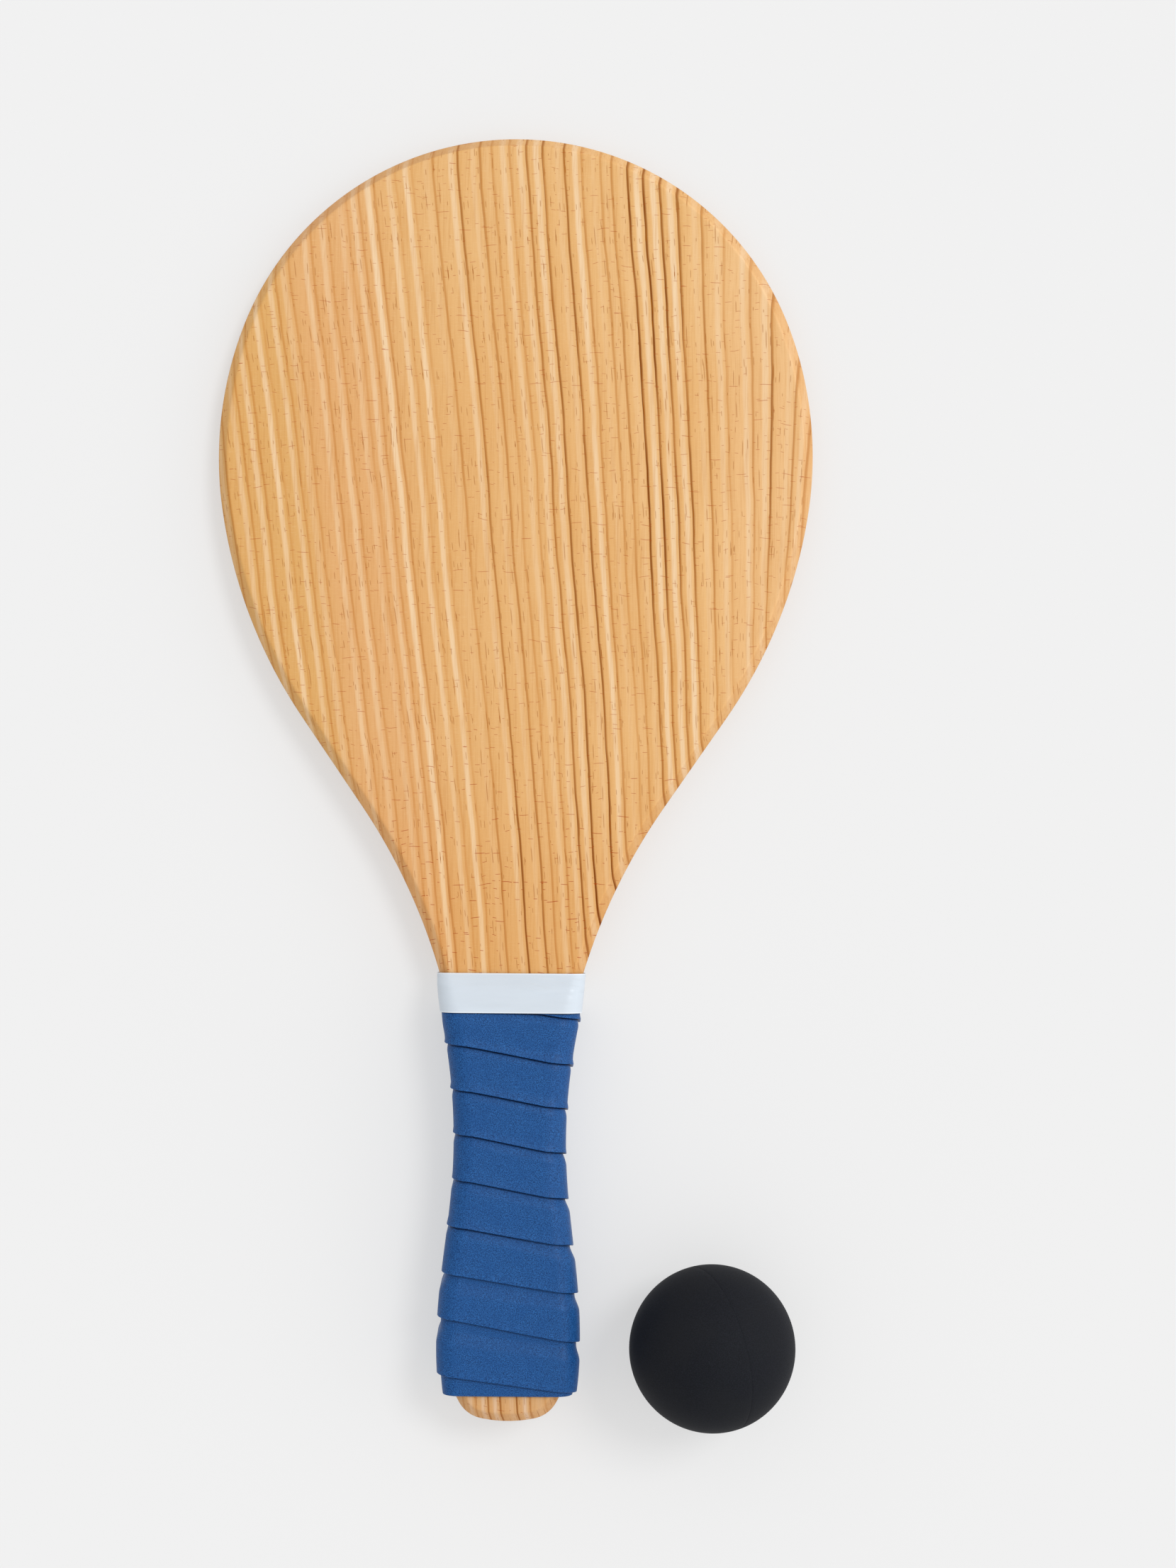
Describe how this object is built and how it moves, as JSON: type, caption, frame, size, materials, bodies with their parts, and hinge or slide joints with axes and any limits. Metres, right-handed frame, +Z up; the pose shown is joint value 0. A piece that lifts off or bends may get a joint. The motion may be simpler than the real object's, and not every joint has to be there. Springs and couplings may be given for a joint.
{
  "type": "beach paddle and ball set",
  "caption": "Flat wooden beach paddle with a chamfered rim and an overlapping foam grip, lying on its back beside its black rubber ball.",
  "frame": {"origin": "on the ground, under the middle of the paddle's length and width", "axes": "+X to the paddle's right seen from above, where the ball lies; +Y along the paddle from the butt to the tip of the blade; +Z up, out of the paddle's front face"},
  "size_m": [0.2072, 0.4465, 0.0569],
  "materials": {
    "pine": "clear satin varnish",
    "blue_foam": "matte closed-cell foam",
    "white_vinyl": "smooth stretched tape",
    "black_rubber": "matte moulded rubber"
  },
  "bodies": {
    "root": {"paddle_board": "pine", "front_handle_cheek": "pine", "back_handle_cheek": "pine", "foam_grip_wrap": "blue_foam", "white_tape_band": "white_vinyl", "ball": "black_rubber"}
  },
  "joints": []
}
